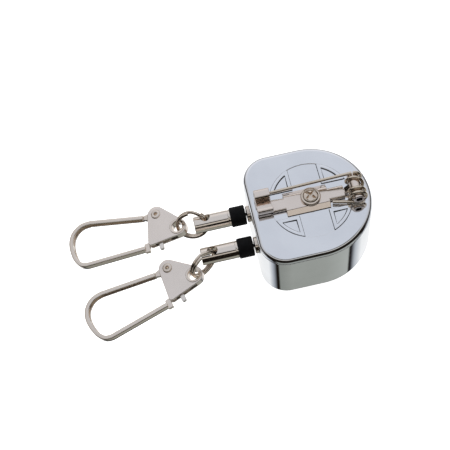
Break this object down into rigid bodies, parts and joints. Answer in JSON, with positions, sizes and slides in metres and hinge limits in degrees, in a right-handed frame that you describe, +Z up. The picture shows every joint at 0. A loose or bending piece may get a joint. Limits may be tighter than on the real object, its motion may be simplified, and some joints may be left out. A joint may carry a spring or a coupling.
{
  "type": "retractable badge reel",
  "caption": "Pin-on retractor reel with a chrome housing and paired spring-return tethers, each with a rubber bumper, a split ring and a snap clip.",
  "frame": {"origin": "where the spool axis meets the flat front face the reel lies on", "axes": "+Z up out of the resting front face towards the pin; -X the way both tethers leave the flat side; +Y towards the upper tether"},
  "size_m": [0.0868, 0.0383, 0.0255],
  "materials": {
    "bumper_rubber": "moulded, matte",
    "case_chrome": "bright chrome plate",
    "clip_eyelet_nickel": "nickel plate",
    "clip_nickel": "nickel plate, satin",
    "clip_rivet_nickel": "nickel plate",
    "cord": "braided nylon",
    "cover_chrome": "bright chrome plate",
    "eyelet_nickel": "nickel plate",
    "ferrule_nickel": "nickel plate",
    "inner_plastic": "moulded, matte",
    "lever_nickel": "nickel plate",
    "loop_nickel": "nickel plate, satin",
    "pin_plate_nickel": "nickel plate",
    "pin_wire_nickel": "nickel plate",
    "post_steel": "turned",
    "ring_nickel": "nickel plate",
    "screw_nickel": "nickel plate",
    "spool_plastic": "moulded, satin",
    "spring_steel": "blue tempered strip"
  },
  "bodies": {
    "housing": {"case_shell": "case_chrome", "back_cover": "cover_chrome", "divider_plate": "inner_plastic", "centre_post": "post_steel", "spiral_spring_upper": "spring_steel", "spiral_spring_lower": "spring_steel", "cord_run_upper": "cord", "cord_run_lower": "cord", "outlet_eyelet_upper": "eyelet_nickel", "outlet_eyelet_lower": "eyelet_nickel", "pin_plate": "pin_plate_nickel", "pin_coil": "pin_wire_nickel", "pin_screw": "screw_nickel"},
    "needle": {"pin_needle": "pin_wire_nickel"},
    "reel_upper": {"spool_upper": "spool_plastic", "cord_winding_upper": "cord"},
    "tether_upper": {"bumper_upper": "bumper_rubber", "ferrule_upper": "ferrule_nickel", "cord_knot_upper": "cord"},
    "ring_upper": {"split_ring_upper": "ring_nickel"},
    "clip_upper": {"clip_body_upper": "clip_nickel", "clip_eyelet_upper": "clip_eyelet_nickel", "clip_rivet_upper": "clip_rivet_nickel", "clip_pin_upper": "clip_rivet_nickel"},
    "gate_upper": {"clip_loop_upper": "loop_nickel"},
    "latch_upper": {"clip_lever_upper": "lever_nickel", "clip_spring_upper": "spring_steel"},
    "reel_lower": {"spool_lower": "spool_plastic", "cord_winding_lower": "cord"},
    "tether_lower": {"bumper_lower": "bumper_rubber", "ferrule_lower": "ferrule_nickel", "cord_knot_lower": "cord"},
    "ring_lower": {"split_ring_lower": "ring_nickel"},
    "clip_lower": {"clip_body_lower": "clip_nickel", "clip_eyelet_lower": "clip_eyelet_nickel", "clip_rivet_lower": "clip_rivet_nickel", "clip_pin_lower": "clip_rivet_nickel"},
    "gate_lower": {"clip_loop_lower": "loop_nickel"},
    "latch_lower": {"clip_lever_lower": "lever_nickel", "clip_spring_lower": "spring_steel"}
  },
  "joints": [
    {"name": "pull_upper", "type": "slide", "parent": "housing", "child": "tether_upper", "axis": [-1, 0, 0], "range_m": [0, 0.6], "stiffness_N_per_m": 2.5, "springref_m": -0.6},
    {"name": "wind_upper", "type": "hinge", "parent": "housing", "child": "reel_upper", "pos_m": [0, 0, 0.0147], "axis": [0, 0, 1], "range_deg": [0, 3074]},
    {"name": "ring_swing_upper", "type": "hinge", "parent": "tether_upper", "child": "ring_upper", "pos_m": [-0.02945, 0.0051, 0.01], "axis": [0, 0.4067, 0.9135], "range_deg": [-35, 6]},
    {"name": "clip_swing_upper", "type": "hinge", "parent": "ring_upper", "child": "clip_upper", "pos_m": [-0.03748, 0.00612, 0.00881], "axis": [-0.2109, 0.0129, 0.9774], "range_deg": [-30, 8]},
    {"name": "gate_open_upper", "type": "hinge", "parent": "clip_upper", "child": "gate_upper", "pos_m": [-0.0428, 0.01211, 0.00758], "axis": [-0.2109, 0.0129, 0.9774], "range_deg": [-75, 0]},
    {"name": "latch_press_upper", "type": "hinge", "parent": "clip_upper", "child": "latch_upper", "pos_m": [-0.04104, 0.00479, 0.00806], "axis": [-0.2109, 0.0129, 0.9774], "range_deg": [-8, 0], "stiffness_Nm_per_rad": 0.02, "springref_deg": 2.86},
    {"name": "pull_lower", "type": "slide", "parent": "housing", "child": "tether_lower", "axis": [-1, 0, 0], "range_m": [0, 0.6], "stiffness_N_per_m": 2.5, "springref_m": -0.6},
    {"name": "wind_lower", "type": "hinge", "parent": "housing", "child": "reel_lower", "pos_m": [0, 0, 0.0053], "axis": [0, 0, 1], "range_deg": [-3074, 0]},
    {"name": "ring_swing_lower", "type": "hinge", "parent": "tether_lower", "child": "ring_lower", "pos_m": [-0.02945, -0.0051, 0.01], "axis": [0, 0.0872, 0.9962], "range_deg": [-6, 45]},
    {"name": "clip_swing_lower", "type": "hinge", "parent": "ring_lower", "child": "clip_lower", "pos_m": [-0.03587, -0.00958, 0.00843], "axis": [-0.1944, -0.0442, 0.9799], "range_deg": [-8, 60]},
    {"name": "gate_open_lower", "type": "hinge", "parent": "clip_lower", "child": "gate_lower", "pos_m": [-0.04266, -0.00533, 0.00728], "axis": [-0.1944, -0.0442, 0.9799], "range_deg": [-14, 0]},
    {"name": "latch_press_lower", "type": "hinge", "parent": "clip_lower", "child": "latch_lower", "pos_m": [-0.03892, -0.01187, 0.00773], "axis": [-0.1944, -0.0442, 0.9799], "range_deg": [-8, 0], "stiffness_Nm_per_rad": 0.02, "springref_deg": 2.86},
    {"name": "needle_open", "type": "hinge", "parent": "housing", "child": "needle", "pos_m": [0.01215, 0.00265, 0.02505], "axis": [0, 0.4226, 0.9063], "range_deg": [0, 35]}
  ],
  "couplings": [
    {"joint": "wind_upper", "follows": "pull_upper", "rad_per_m": 89.286},
    {"joint": "wind_lower", "follows": "pull_lower", "rad_per_m": -89.286}
  ]
}
